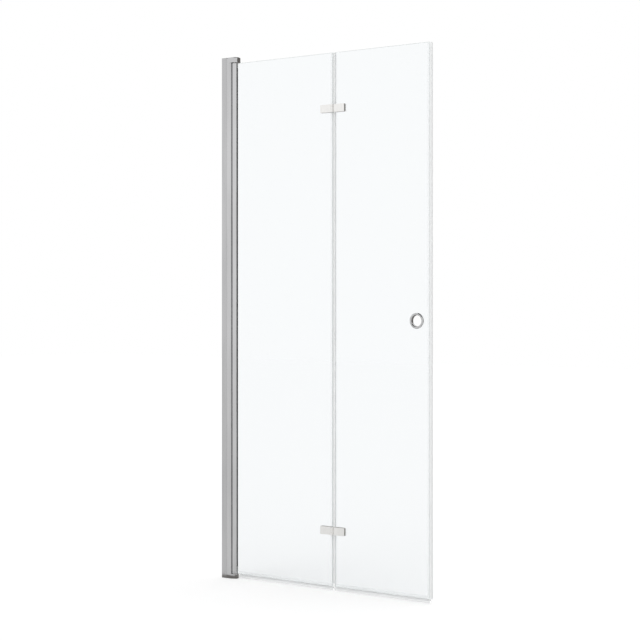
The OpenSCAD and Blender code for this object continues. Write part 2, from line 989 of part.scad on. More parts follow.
module lower_second_wing() {
    color(chrome)
        at_hinge(hinge_z[0], 1)
            front_wing(false);
}

module upper_second_wing() {
    color(chrome)
        at_hinge(hinge_z[1], 1)
            front_wing(false);
}

module lower_second_clamp() {
    color(chrome)
        at_hinge(hinge_z[0], 1)
            clamp_plate();
}

module upper_second_clamp() {
    color(chrome)
        at_hinge(hinge_z[1], 1)
            clamp_plate();
}

module second_hinge_gaskets() {
    color(rubber)
        for (z = hinge_z)
            at_hinge(z, 1)
                wing_gaskets();
}

module second_hinge_screws() {
    color(steel)
        for (z = hinge_z)
            at_hinge(z, 1)
                wing_screws();
}

module hinge_pins() {
    color(steel)
        for (z = hinge_z)
            translate([seam_x, axis_y, z - hinge_h / 2])
                cylinder(r = hinge_pin_r, h = hinge_h);
}

module hinge_washers() {
    color(nylon)
        for (z = hinge_z, s = [-1, 1])
            translate([seam_x, axis_y, z + s * (knuckle_h + washer_t) / 2])
                upright(-washer_t / 2 + thrust_gap, washer_t / 2 - thrust_gap)
                    difference() {
                        circle(knuckle_r - washer_in);
                        circle(hinge_pin_r + washer_clear);
                    }
}

// ---- seals ----

// Plan of a channel over a pane's edge; the edge is at x = 0 and the legs run towards -X
module edge_channel(leg) {
    difference() {
        box2(-leg, web_clear + seal_t, -seal_out, seal_out);
        box2(-leg - CUT, web_clear, -seal_y, seal_y);
    }
}

// Lengths of centre seal below, between and above the hinges
module centre_lengths() {
    h = hinge_h / 2 + hinge_clear;
    stops = [centre_z0, hinge_z[0] - h, hinge_z[0] + h, hinge_z[1] - h, hinge_z[1] + h, glass_z1];
    for (i = [0, 2, 4])
        upright(stops[i], stops[i + 1])
            children();
}

// Channel with a hollow bulb that closes the seam
module first_centre_seal() {
    color(clear)
        centre_lengths()
            difference() {
                union() {
                    translate([glass_a_x1, 0])
                        edge_channel(centre_leg_a);
                    translate([bulb_x, 0])
                        circle(bulb_r);
                    box2(glass_a_x1 + web_clear, bulb_x, -bulb_neck / 2, bulb_neck / 2);
                }
                translate([bulb_x, 0])
                    circle(bulb_r - bulb_wall);
                box2(glass_a_x1 - centre_leg_a - CUT, glass_a_x1 + web_clear, -seal_y, seal_y);
            }
}

module second_centre_seal() {
    color(clear)
        centre_lengths()
            translate([glass_b_x0, 0])
                mirror([1, 0])
                    edge_channel(centre_leg_b);
}

// Section of a bottom seal in Y and Z: the channel that grips the glass
module bottom_channel_section() {
    difference() {
        box2(-seal_out, seal_out, bottom_web_z0, glass_z0 + bottom_leg);
        box2(-seal_y, seal_y, bottom_web_z1, glass_z0 + bottom_leg + CUT);
    }
}

// The same channel's web alone, where the free edge seal takes the place of its legs
module bottom_web_section() {
    box2(-seal_out, seal_out, bottom_web_z0, bottom_web_z1);
}

// The soft lips under the channel: a wiper blade, and a fin that sheds water into the shower
module lips_section() {
    box2(-wiper_back - seal_t / 2, -wiper_back + seal_t / 2, bottom_web_z0 - wiper_h, bottom_web_z0);
    polygon([
        [seal_out, bottom_web_z0],
        [seal_out - fin_tip, bottom_web_z0],
        [fin_reach - fin_tip, bottom_web_z0 - fin_drop],
        [fin_reach, bottom_web_z0 - fin_drop]
    ]);
}

// Lays a section in Y and Z along X, from x0 to x1
module along_x(x0, x1) {
    translate([x0, 0, 0])
        rotate([90, 0, 90])
            linear_extrude(x1 - x0)
                children();
}

module first_bottom_seal() {
    color(clear)
        along_x(bottom_a_x0, bottom_a_x1)
            bottom_channel_section();
}

module first_bottom_lips() {
    color(clear)
        along_x(bottom_a_x0, bottom_a_x1)
            lips_section();
}

module second_bottom_seal() {
    color(clear) {
        along_x(bottom_b_x0, edge_seal_x0 - seal_end_gap)
            bottom_channel_section();
        along_x(bottom_b_x0, glass_b_x1)
            bottom_web_section();
    }
}

module second_bottom_lips() {
    color(clear)
        along_x(bottom_b_x0, glass_b_x1)
            lips_section();
}

// Channel on the free edge with a square pocket for the magnet strip
module free_edge_seal() {
    p = pocket_d / 2;
    color(clear)
        upright(glass_z0, glass_z1)
            difference() {
                union() {
                    translate([glass_b_x1, 0])
                        edge_channel(edge_leg);
                    box2(glass_b_x1 + web_clear, door_w, -p, p);
                }
                box2(edge_seal_x0 - CUT, glass_b_x1 + web_clear, -seal_y, seal_y);
                box2(glass_b_x1 + web_clear + seal_t, door_w - seal_t, -p + seal_t, p - seal_t);
            }
}

module magnet_strip() {
    margin = seal_t + magnet_clear;
    p = pocket_d / 2 - margin;
    color(rubber)
        upright(glass_z0 + magnet_inset, glass_z1 - magnet_inset)
            box2(glass_b_x1 + web_clear + margin, door_w - margin, -p, p);
}

// ---- second leaf's glass and ring handle ----

module second_glass() {
    color(pane)
        difference() {
            sheet(-glass_f, glass_f)
                box2(glass_b_x0, glass_b_x1, glass_z0, glass_z1);
            hinge_holes(1);
            cross_bar(ring_x, ring_z, -glass_f - CUT, glass_f + CUT, glass_ring_r);
        }
}

// Section of a ring with its outer face rounded, from the gasket at z = 0 up to z = t
module ring_section(outer_r, t, round_r) {
    box2(ring_hole_r + round_r, outer_r - round_r, 0, t);
    box2(ring_hole_r, outer_r, 0, t - round_r);
    for (r = [ring_hole_r + round_r, outer_r - round_r])
        translate([r, t - round_r])
            intersection() {
                circle(round_r);
                box2(-round_r, round_r, 0, round_r);
            }
}

// Turns a ring piece so that its axis runs across the glass
module at_ring(back) {
    translate([ring_x, 0, ring_z])
        rotate([back ? -90 : 90, 0, 0])
            translate([0, 0, glass_f + ring_gasket_t])
                children();
}

// Front ring and the sleeve that reaches through the glass
module front_ring() {
    sleeve_l = glass_t + 2 * ring_gasket_t + back_ring_t - back_face_t - sleeve_gap;
    color(chrome)
        at_ring(false)
            rotate_extrude($fn = ring_fn) {
                ring_section(ring_r, ring_t, ring_round);
                box2(ring_hole_r, sleeve_r, -sleeve_l, EPS);
            }
}

// Thin ring pressed over the sleeve's end
module back_ring() {
    color(chrome)
        at_ring(true)
            rotate_extrude($fn = ring_fn)
                difference() {
                    ring_section(back_ring_r, back_ring_t, back_ring_round);
                    box2(ring_hole_r - CUT, sleeve_r + seat_clear, -CUT, back_ring_t - back_face_t);
                }
}

module ring_gaskets() {
    color(rubber)
        for (back = [false, true])
            at_ring(back)
                upright(-ring_gasket_t, 0)
                    difference() {
                        circle((back ? back_ring_r : ring_r) - ring_gasket_in);
                        circle(sleeve_r + free_clear);
                    }
}

wall_channel();
channel_sides();
frame_profile();
frame_ports();
frame_horns();
frame_walls();
clamp_screws();
clamp_screw_covers();
top_cap();
bottom_cap();
cap_screws();
top_bush();
bottom_bush();
gap_seal();
pivot_profile();
pivot_webs();
top_end_plug();
bottom_end_plug();
top_pivot_pin();
bottom_pivot_pin();
plug_screws();
glazing_gasket();
first_glass();
upper_first_wing();
lower_first_wing();
upper_first_clamp();
lower_first_clamp();
first_hinge_gaskets();
first_hinge_screws();
first_centre_seal();
first_bottom_seal();
first_bottom_lips();
second_glass();
upper_second_wing();
lower_second_wing();
upper_second_clamp();
lower_second_clamp();
second_hinge_gaskets();
second_hinge_screws();
hinge_pins();
hinge_washers();
second_centre_seal();
second_bottom_seal();
second_bottom_lips();
free_edge_seal();
magnet_strip();
front_ring();
back_ring();
ring_gaskets();
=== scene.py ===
# %% [markdown]
# # A bifold shower door
#
# Two panes of toughened glass hang on an aluminium wall profile. The first turns on a pivot inside the
# profile, and the second folds on the first at two chrome hinges. The construction comes packed, as a
# frame of solids. This script gives every surface its finish, and makes again, with rounder edges, the
# pieces whose edges catch the light.

# %% Load the frame
import json
from math import radians

import bmesh
import bpy
import numpy as np
from mathutils.geometry import tessellate_polygon
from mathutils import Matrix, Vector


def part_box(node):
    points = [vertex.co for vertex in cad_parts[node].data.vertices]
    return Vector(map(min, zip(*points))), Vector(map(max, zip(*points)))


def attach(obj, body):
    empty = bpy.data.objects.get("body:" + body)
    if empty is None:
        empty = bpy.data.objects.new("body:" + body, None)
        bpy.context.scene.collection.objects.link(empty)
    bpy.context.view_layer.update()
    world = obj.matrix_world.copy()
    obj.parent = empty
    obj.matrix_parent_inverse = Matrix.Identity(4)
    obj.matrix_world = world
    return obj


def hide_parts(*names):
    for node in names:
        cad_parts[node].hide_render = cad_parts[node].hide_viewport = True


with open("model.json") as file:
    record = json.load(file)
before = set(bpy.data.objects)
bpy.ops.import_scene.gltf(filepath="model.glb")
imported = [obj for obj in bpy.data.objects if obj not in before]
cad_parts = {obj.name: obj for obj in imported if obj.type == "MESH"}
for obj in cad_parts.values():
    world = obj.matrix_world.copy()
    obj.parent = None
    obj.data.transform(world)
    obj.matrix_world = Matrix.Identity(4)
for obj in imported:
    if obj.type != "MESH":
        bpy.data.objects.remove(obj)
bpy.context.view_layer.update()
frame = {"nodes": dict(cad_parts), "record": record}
MM = 0.001

# %% [markdown]
# ## The camera
#
# Uprights stay upright in the photograph, so the camera is level, and the picture is shifted instead of
# tilted. The place and the focal length were found by matching the ends of the profile, the seam, the
# hinges and the ring to their real places on a door 1850 mm high.

# %% Camera
CAMERA_TURN = radians(34.87)
CAMERA_REACH = 5.122
CAMERA_HEIGHT = 1.0
AIMED_AT_X = 0.415
FOCAL_PIXELS = 1500
PICTURE_PIXELS = 640
HORIZON_PIXEL = 296.9

camera_data = bpy.data.cameras.new("camera")
camera = bpy.data.objects.new("camera", camera_data)
bpy.context.scene.collection.objects.link(camera)
bpy.context.scene.camera = camera
camera.location = (
    AIMED_AT_X + CAMERA_REACH * np.sin(CAMERA_TURN),
    -CAMERA_REACH * np.cos(CAMERA_TURN),
    CAMERA_HEIGHT,
)
camera.rotation_euler = (radians(90), 0, CAMERA_TURN)
camera_data.lens = FOCAL_PIXELS / PICTURE_PIXELS * camera_data.sensor_width
camera_data.shift_y = (HORIZON_PIXEL - PICTURE_PIXELS / 2) / PICTURE_PIXELS
print(f"camera: {camera_data.lens:.1f} mm lens, shifted {camera_data.shift_y:.3f}")

# %% [markdown]
# ## Nodes for a material
#
# A material is a small graph. One helper adds a node with its settings and its links, so a material reads
# as a short list. Colours are written as they look on a screen, and the shaders want them linear.

# %% Material helpers
NOISE_LOW, NOISE_HIGH = 0.3, 0.7


def linear(hex_colour):
    """Turns an sRGB hex colour into linear red, green and blue: a straight part near black, then a power."""
    srgb = np.array([int(hex_colour[i:i + 2], 16) for i in (1, 3, 5)]) / 255
    rgb = np.where(srgb <= 0.04045, srgb / 12.92, ((srgb + 0.055) / 1.055) ** 2.4)
    return (*rgb, 1.0)


def add_node(tree, kind, inputs=(), **settings):
    """Adds a node. inputs maps a socket to a value, or to the socket that feeds it; settings are the
    node's own properties."""
    node = tree.nodes.new("ShaderNode" + kind)
    for name, value in settings.items():
        setattr(node, name, value)
    for key, value in dict(inputs).items():
        if isinstance(value, bpy.types.NodeSocket):
            tree.links.new(value, node.inputs[key])
        else:
            node.inputs[key].default_value = value
    return node


def new_material(name):
    """An empty node material and its tree."""
    material = bpy.data.materials.new(name)
    material.use_nodes = True
    material.node_tree.nodes.clear()
    return material, material.node_tree


def finish_material(tree, shader):
    """Links a shader to the material's output."""
    add_node(tree, "OutputMaterial", {"Surface": shader.outputs[0]})


def pattern(tree, size_mm, detail=2.0, roughness=0.5):
    """Noise whose spots have the given size in millimetres along X, Y and Z, from the piece's own place."""
    place = add_node(tree, "TexCoord")
    scaled = add_node(tree, "Mapping", {
        "Vector": place.outputs["Object"],
        "Scale": [1 / (side * MM) for side in size_mm],
    })
    return add_node(tree, "TexNoise", {
        "Vector": scaled.outputs[0], "Scale": 1.0, "Detail": detail, "Roughness": roughness,
    }).outputs["Fac"]


def between(tree, factor, low, high):
    """A number that runs from low to high as the pattern runs over its middle range."""
    return add_node(tree, "MapRange", {
        "Value": factor, "From Min": NOISE_LOW, "From Max": NOISE_HIGH, "To Min": low, "To Max": high,
    }).outputs[0]


def tint(tree, factor, dark, light):
    """A colour between two hex colours, by a pattern."""
    mixed = add_node(tree, "Mix", {
        "Factor": between(tree, factor, 0.0, 1.0), "A": linear(dark), "B": linear(light),
    }, data_type="RGBA")
    for socket in mixed.outputs:
        if socket.type == "RGBA":
            return socket


def relief(tree, height, depth_mm):
    """A bump of the given depth in millimetres."""
    return add_node(tree, "Bump", {"Height": height, "Strength": 1.0, "Distance": depth_mm * MM}).outputs[0]


# %% [markdown]
# ## Anodised aluminium
#
# The wall profiles are 6063 aluminium, pressed through a die and then anodised bright. The die leaves fine
# lines along the length, which draw reflections out sideways, and the oxide layer greys the metal. The
# real lines are about 0.1 mm apart; they are drawn 0.6 mm apart here so that they show. The pivot profile
# is drawn from a finer die and polished before it is anodised, so it is glossier.

# %% Anodised aluminium
def anodised_aluminium(name, dark, light, low_gloss, high_gloss):
    """Grey metal with lines along Z and a faint, slow change of tone."""
    material, tree = new_material(name)
    lines = pattern(tree, (0.6, 0.6, 180), detail=3.0)
    cloud = pattern(tree, (30, 30, 260))
    shader = add_node(tree, "BsdfPrincipled", {
        "Base Color": tint(tree, cloud, dark, light),
        "Metallic": 1.0,
        "Roughness": between(tree, lines, low_gloss, high_gloss),
        "Normal": relief(tree, lines, 0.0012),
    })
    finish_material(tree, shader)
    return material


# %% [markdown]
# ## Chrome plate
#
# The caps, the hinges and the ring are zinc castings, polished and plated with chrome. Polished chrome is
# almost a mirror. What tells it from a perfect one is a soft ripple left by the polishing wheel, a few
# millimetres wide and far less than a hundredth of a millimetre deep, and faint wipe marks in its gloss.
# The caps, the end plugs and the rings are plated over a duller, brushed ground, so they are about as grey
# as the profile.

# %% Chrome plate
def chrome_plate(name, dark, light, low_gloss, high_gloss):
    """A mirror with a polishing ripple and wipe marks."""
    material, tree = new_material(name)
    ripple = pattern(tree, (7, 7, 7), detail=1.0)
    wipes = pattern(tree, (3, 3, 14), detail=4.0, roughness=0.6)
    shader = add_node(tree, "BsdfPrincipled", {
        "Base Color": tint(tree, wipes, dark, light),
        "Metallic": 1.0,
        "Roughness": between(tree, wipes, low_gloss, high_gloss),
        "Normal": relief(tree, ripple, 0.006),
    })
    finish_material(tree, shader)
    return material


# %% [markdown]
# ## Toughened glass
#
# Float glass is heated on rollers and chilled, which toughens it and leaves a roller wave: a ripple about
# 250 mm long and a few hundredths of a millimetre deep, which bends reflections a little. Seen through
# the face the glass is nearly colourless. Its ground and polished edge shows the iron in it as green,
# because the eye looks along the pane there, so the edge has a material of its own.

# %% Toughened glass
GLASS_IOR = 1.52


def toughened_glass():
    """Clear glass with a roller wave across its height."""
    material, tree = new_material("toughened glass")
    wave = pattern(tree, (900, 900, 125), detail=0.0)
    shader = add_node(tree, "BsdfPrincipled", {
        "Base Color": linear("#F9FBFC"),
        "Roughness": 0.0,
        "IOR": GLASS_IOR,
        "Transmission Weight": 1.0,
        "Normal": relief(tree, wave, 0.03),
    })
    finish_material(tree, shader)
    return material


def ground_glass_edge():
    """The polished edge: greener, and dull from the grinding wheel, whose fine scratches scatter part of
    the light."""
    material, tree = new_material("ground glass edge")
    grind = pattern(tree, (1.2, 1.2, 1.2), detail=3.0)
    shader = add_node(tree, "BsdfPrincipled", {
        "Base Color": linear("#F3F9F7"),
        "Roughness": between(tree, grind, 0.1, 0.25),
        "IOR": GLASS_IOR,
        "Transmission Weight": 0.1,
    })
    finish_material(tree, shader)
    return material


# %% [markdown]
# ## Clear PVC
#
# The seals are clear PVC, pressed through a die in long lengths. Their walls are too thin to bend what is
# seen through them, but the plastic is faintly cloudy: each face lets most of the light straight through
# and scatters the rest, so several walls one behind another look like pale grey frosted glass. The die
# leaves streaks along them. The soft lips under the door hold more plasticiser, which makes them cloudier.

# %% Clear PVC
PVC_IOR = 1.53


def clear_pvc(name, dark, light, low_cloud, high_cloud, gloss, streak_mm):
    """Cloudy clear plastic. The cloud is the share of the light that a face scatters, and its streaks have
    the given size in millimetres along X, Y and Z."""
    material, tree = new_material(name)
    streaks = pattern(tree, streak_mm, detail=3.0)
    shader = add_node(tree, "BsdfPrincipled", {
        "Base Color": tint(tree, streaks, dark, light),
        "Roughness": gloss,
        "IOR": PVC_IOR,
        "Alpha": between(tree, streaks, low_cloud, high_cloud),
        "Normal": relief(tree, streaks, 0.01),
    })
    finish_material(tree, shader)
    return material


# %% [markdown]
# ## The small materials
#
# The gaskets are black EPDM rubber: dull, with a fine matt grain. The bushes and washers are moulded nylon,
# an off-white plastic with a soft sheen. Screws and pins are turned stainless steel, whose turning marks
# run around them. The magnet strip is ferrite powder in rubber, white coated to look neat inside its seal.

# %% Rubber, nylon, steel and the magnet strip
GLOSS_SPREAD = 0.06


def dull_plastic(name, dark, light, gloss, grain_mm, depth_mm):
    """A plastic or rubber with a grain of the given size and depth, in millimetres."""
    material, tree = new_material(name)
    grain = pattern(tree, (grain_mm,) * 3, detail=3.0)
    shader = add_node(tree, "BsdfPrincipled", {
        "Base Color": tint(tree, grain, dark, light),
        "Roughness": between(tree, grain, gloss - GLOSS_SPREAD, gloss + GLOSS_SPREAD),
        "Normal": relief(tree, grain, depth_mm),
    })
    finish_material(tree, shader)
    return material


def turned_steel():
    """Stainless steel with turning marks 0.4 mm apart along its length."""
    material, tree = new_material("turned stainless steel")
    marks = pattern(tree, (3, 3, 0.4), detail=2.0)
    shader = add_node(tree, "BsdfPrincipled", {
        "Base Color": tint(tree, marks, "#B4B5B6", "#CBCCCD"),
        "Metallic": 1.0,
        "Roughness": between(tree, marks, 0.22, 0.34),
        "Normal": relief(tree, marks, 0.004),
    })
    finish_material(tree, shader)
    return material


ALUMINIUM = anodised_aluminium("anodised aluminium", "#B7B7B8", "#C2C2C3", 0.16, 0.26)
FRAME_ALUMINIUM = anodised_aluminium(
    "anodised aluminium of the frame profile", "#C0C0C1", "#CBCBCC", 0.14, 0.22)
PIVOT_ALUMINIUM = anodised_aluminium("polished anodised aluminium", "#C3C3C4", "#CECECF", 0.08, 0.14)
CHROME = chrome_plate("chrome plate", "#E9E8E6", "#F3F2F0", 0.03, 0.09)
DULL_CHROME = chrome_plate("dull chrome plate", "#BEBEBF", "#C9C9CA", 0.07, 0.14)
GLASS = toughened_glass()
GLASS_EDGE = ground_glass_edge()
SEAL = clear_pvc("clear PVC", "#F5F7F9", "#FCFDFE", 0.07, 0.12, 0.16, (0.8, 0.8, 90))
SEAL_ALONG = clear_pvc(
    "clear PVC laid along the pane", "#F5F7F9", "#FCFDFE", 0.07, 0.12, 0.16, (90, 0.8, 0.8))
LIP = clear_pvc("soft PVC lip", "#E6E8E9", "#F0F1F2", 0.3, 0.4, 0.3, (90, 0.8, 0.8))
RUBBER = dull_plastic("EPDM rubber", "#2A2B2C", "#363738", 0.62, 0.5, 0.01)
NYLON = dull_plastic("moulded nylon", "#E6E2D8", "#F2EFE7", 0.4, 0.9, 0.006)
MAGNET = dull_plastic("coated magnet strip", "#F3F4F4", "#FAFAF9", 0.5, 1.4, 0.012)
STEEL = turned_steel()
print("materials:", len(bpy.data.materials))

# %% [markdown]
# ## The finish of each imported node
#
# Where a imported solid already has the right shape, only its finish is new. A short rule names the finish
# of each node by what the piece is.

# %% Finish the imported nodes
FINISH_BY_SLOT = {
    "anodised_aluminium": ALUMINIUM,
    "chrome": CHROME,
    "toughened_glass": GLASS,
    "clear_pvc": SEAL,
    "gasket_rubber": RUBBER,
    "magnet": MAGNET,
    "nylon": NYLON,
    "steel": STEEL,
}
slot_of = {part["node"]: part["material_slot"] for part in frame["record"]["subparts"]}
body_of = {
    node: body
    for body, nodes in frame["record"]["behaviour"]["bodies"].items()
    for node in nodes
}
for node, piece in frame["nodes"].items():
    piece.data.materials.clear()
    piece.data.materials.append(FINISH_BY_SLOT[slot_of[node]])
print("finished nodes:", len(frame["nodes"]))

# %% [markdown]
# ## Surfaces from arrays
#
# The seals and the panes are sections pulled straight along an axis, and the rings are sections turned
# round one. Each is a grid with two parameters: one runs round the section, and the other runs along the
# axis or round it. The points are worked out as whole arrays.

# %% Section helpers
CREASE = radians(35)
SAME_POINT = 1e-6


def rounded(corners, radii, steps=4):
    """An outline whose corners are arcs, each touching both of its sides. A point of an arc is a weighted
    mean of the arc's two ends and the corner, with weights (1-t)^2, t^2 and 2t(1-t)sin(half the corner's
    angle), which is an exact circle."""
    corner = np.asarray(corners, float)
    radius = np.broadcast_to(radii, len(corner)).astype(float)[:, None]
    back = np.roll(corner, 1, axis=0) - corner
    ahead = np.roll(corner, -1, axis=0) - corner
    back /= np.linalg.norm(back, axis=1, keepdims=True)
    ahead /= np.linalg.norm(ahead, axis=1, keepdims=True)
    half_angle = np.arccos(np.clip((back * ahead).sum(axis=1, keepdims=True), -1, 1)) / 2
    reach = radius / np.tan(half_angle)
    first = (corner + back * reach)[:, None]
    last = (corner + ahead * reach)[:, None]
    t = np.linspace(0, 1, steps + 1)[None, :, None]
    weights = (1 - t) ** 2, 2 * t * (1 - t) * np.sin(half_angle)[:, None], t ** 2
    arcs = (weights[0] * first + weights[1] * corner[:, None] + weights[2] * last) / sum(weights)
    points = arcs.reshape(-1, 2)
    return points[np.linalg.norm(points - np.roll(points, 1, axis=0), axis=1) > SAME_POINT]


def circle(centre, radius, start=0, end=360, steps=48):
    """Points on a circle, or on the part of it between two angles in degrees."""
    turn = np.radians(np.linspace(start, end, steps, endpoint=abs(end - start) < 360))
    return np.column_stack([centre[0] + radius * np.cos(turn), centre[1] + radius * np.sin(turn)])


def signed_area(outline):
    """Half the sum of the cross products of neighbours: above zero where the outline turns left."""
    u, v = outline.T
    return (u * np.roll(v, -1) - np.roll(u, -1) * v).sum() / 2


def moved_in(outline, distance):
    """The outline moved to its left, into the solid, by a distance: each point goes along the sum of its
    two edge normals, scaled so that both edges move by the same distance."""
    edge = np.roll(outline, -1, axis=0) - outline
    normal = np.column_stack([-edge[:, 1], edge[:, 0]]) / np.linalg.norm(edge, axis=1, keepdims=True)
    before = np.roll(normal, 1, axis=0)
    share = 1 + (normal * before).sum(axis=1, keepdims=True)
    return outline + distance * (normal + before) / share


# %% [markdown]
# The ends of a pulled section lose their sharp edge too: the section is a little smaller at both ends. On
# a pane this is the arris, the narrow bevel that the glazier grinds before the glass is toughened.

# %% Pull a section
AXES = {"x": (2, 0, 1), "y": (1, 2, 0), "z": (0, 1, 2)}


def pulled(outlines, axis, start, end, arris):
    """A closed solid: its section, in millimetres, is pulled along an axis from start to end. The section
    is one outer outline and its holes. Returns points, side faces and end faces."""
    wound = [o if (signed_area(o) > 0) == (i == 0) else o[::-1] for i, o in enumerate(outlines)]
    stations = [(start, arris), (start + arris, 0), (end - arris, 0), (end, arris)]
    count = sum(len(o) for o in wound)
    points = np.vstack([
        np.column_stack([moved_in(o, inward), np.full(len(o), at)])
        for at, inward in stations for o in wound
    ])
    sides = []
    first = 0
    for outline in wound:
        here = first + np.arange(len(outline))
        ahead = np.roll(here, -1)
        ring = np.column_stack([here, ahead, ahead + count, here + count])
        sides += [ring + count * level for level in range(len(stations) - 1)]
        first += len(outline)
    loops = [[(u, v, 0) for u, v in moved_in(o, arris)] for o in wound]
    ends = np.array(tessellate_polygon(loops))
    a, b, c = (points[ends[:, i], :2] for i in range(3))
    cross = (b[:, 0] - a[:, 0]) * (c[:, 1] - a[:, 1]) - (b[:, 1] - a[:, 1]) * (c[:, 0] - a[:, 0])
    ends = np.where(cross[:, None] > 0, ends, ends[:, ::-1])
    top = ends + count * (len(stations) - 1)
    return points[:, AXES[axis]], np.vstack(sides), np.vstack([ends[:, ::-1], top])


def joined(solids):
    """Several solids as one: their points and faces one after another."""
    counts = np.cumsum([0] + [len(points) for points, _, _ in solids[:-1]])
    return (
        np.vstack([points for points, _, _ in solids]),
        np.vstack([sides + n for (_, sides, _), n in zip(solids, counts)]),
        np.vstack([ends + n for (_, _, ends), n in zip(solids, counts)]),
    )


def show_piece(name, solid, side_finish, end_finish, stands_for):
    """Makes the mesh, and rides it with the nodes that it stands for. A pane
    throws no shadow."""
    points, sides, ends = solid
    mesh = bpy.data.meshes.new(name)
    mesh.from_pydata((points * MM).tolist(), [], sides.tolist() + ends.tolist())
    mesh.materials.append(side_finish)
    mesh.materials.append(end_finish)
    mesh.polygons.foreach_set("material_index", [0] * len(sides) + [1] * len(ends))
    mesh.polygons.foreach_set("use_smooth", [True] * len(mesh.polygons))
    mesh.set_sharp_from_angle(angle=CREASE)
    piece = bpy.data.objects.new(name, mesh)
    bpy.context.scene.collection.objects.link(piece)
    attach(piece, body_of[stands_for[0]])
    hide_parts(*stands_for)
    piece.visible_shadow = side_finish is not GLASS_EDGE
    print(f"{name}: {len(mesh.polygons)} faces")


# %% [markdown]
# ## The panes
#
# Each pane is cut to shape, drilled, ground along every edge and only then toughened. The first pane has
# two steps beside the pivot, because its tongue in the profile is shorter than the pane.

# %% Panes
def mm_box(node):
    """A node's lowest and highest corner, in millimetres."""
    low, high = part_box(node)
    return np.array(low) / MM, np.array(high) / MM


ARRIS = 0.7
PANE_CORNER = 1.5
HOLE_RADIUS = 5.0
HINGE_HOLES = (17.0, 33.0)
RING_HOLE_RADIUS = 20.9

low_a, high_a = mm_box("first_glass")
low_b, high_b = mm_box("second_glass")
low_pin, high_pin = mm_box("hinge_pins")
low_ring, high_ring = mm_box("front_ring")
low_gasket, high_gasket = mm_box("glazing_gasket")
low_wing, high_wing = mm_box("lower_first_wing")

seam_x = (low_pin[0] + high_pin[0]) / 2
hinge_half = (high_wing[2] - low_wing[2]) / 2
hinge_heights = (low_pin[2] + hinge_half, high_pin[2] - hinge_half)
ring_at = ((low_ring[0] + high_ring[0]) / 2, (low_ring[2] + high_ring[2]) / 2)
STEP_X = 59.4
TONGUE_LOW, TONGUE_HIGH = low_gasket[2], high_gasket[2]


def hinge_holes(side):
    """The outlines of the four screw holes of a pane; side is -1 for the first and 1 for the second."""
    return [
        circle((z, seam_x + side * reach), HOLE_RADIUS, steps=32)
        for z in hinge_heights for reach in HINGE_HOLES
    ]


first_outline = rounded([
    (low_a[2], STEP_X), (low_a[2], high_a[0]), (high_a[2], high_a[0]), (high_a[2], STEP_X),
    (TONGUE_HIGH, STEP_X), (TONGUE_HIGH, low_a[0]), (TONGUE_LOW, low_a[0]), (TONGUE_LOW, STEP_X),
], PANE_CORNER)
second_outline = rounded([
    (low_b[2], low_b[0]), (low_b[2], high_b[0]), (high_b[2], high_b[0]), (high_b[2], low_b[0]),
], PANE_CORNER)
show_piece(
    "first_pane",
    pulled([first_outline, *hinge_holes(-1)], "y", low_a[1], high_a[1], ARRIS),
    GLASS_EDGE, GLASS, ["first_glass"],
)
show_piece(
    "second_pane",
    pulled([
        second_outline, *hinge_holes(1), circle((ring_at[1], ring_at[0]), RING_HOLE_RADIUS, steps=96),
    ], "y", low_b[1], high_b[1], ARRIS),
    GLASS_EDGE, GLASS, ["second_glass"],
)

# %% [markdown]
# ## The upright seals
#
# Every seal is one section pulled through a die. Its legs grip the pane, and their tips are round. The
# first centre seal ends in a hollow bulb that fills the seam. The free edge seal ends in a square pocket
# for the magnet strip.

# %% Upright seals
SEAL_WALL = 1.2
GRIP = 3.05
OUTSIDE = GRIP + SEAL_WALL
WEB_GAP = 0.1
WEB_END = WEB_GAP + SEAL_WALL
TIP = 0.5
INNER_CORNER = 0.25
OUTER_CORNER = 0.6
CUT_END = 0.15
FIRST_LEG, SECOND_LEG, EDGE_LEG = 9.0, 6.5, 9.0
BULB_RADIUS, BULB_WALL = 2.9, 0.7
NECK_HALF, NECK_CORNER = 1.2, 0.3


def grip_corners(leg, web_points, web_radii):
    """Corners of a channel over a pane's edge, and their radii. The edge is at u = 0 and the legs run to
    -u. The points given come on the web's outside, between its two outer corners."""
    corners = [
        (-leg, GRIP), (WEB_GAP, GRIP), (WEB_GAP, -GRIP), (-leg, -GRIP),
        (-leg, -OUTSIDE), (WEB_END, -OUTSIDE), *web_points, (WEB_END, OUTSIDE), (-leg, OUTSIDE),
    ]
    radii = [TIP, INNER_CORNER, INNER_CORNER, TIP, TIP, OUTER_CORNER, *web_radii, OUTER_CORNER, TIP]
    return corners, radii


bulb_at = seam_x - high_a[0]
neck_angle = np.degrees(np.arcsin(NECK_HALF / BULB_RADIUS))
bulb = circle((bulb_at, 0), BULB_RADIUS, neck_angle - 180, 180 - neck_angle, steps=25)
neck = [(WEB_END, -NECK_HALF), *bulb.tolist(), (WEB_END, NECK_HALF)]
bulb_section = rounded(*grip_corners(FIRST_LEG, neck, [NECK_CORNER] + [0] * len(bulb) + [NECK_CORNER]))
bulb_hollow = circle((bulb_at, 0), BULB_RADIUS - BULB_WALL, steps=24)
plain_section = rounded(*grip_corners(SECOND_LEG, [], []))

SEAL_HINGE_GAP = 0.5
low_seal, high_seal = mm_box("first_centre_seal")
half_gap = hinge_half + SEAL_HINGE_GAP
cuts = [low_seal[2]]
for height in hinge_heights:
    cuts += [height - half_gap, height + half_gap]
cuts += [high_seal[2]]
lengths = list(zip(cuts[::2], cuts[1::2]))

show_piece("centre_seal_with_bulb", joined([
    pulled([bulb_section + (high_a[0], 0), bulb_hollow + (high_a[0], 0)], "z", z0, z1, CUT_END)
    for z0, z1 in lengths
]), SEAL, SEAL, ["first_centre_seal"])
show_piece("centre_seal_plain", joined([
    pulled([plain_section * (-1, 1) + (low_b[0], 0)], "z", z0, z1, CUT_END)
    for z0, z1 in lengths
]), SEAL, SEAL, ["second_centre_seal"])

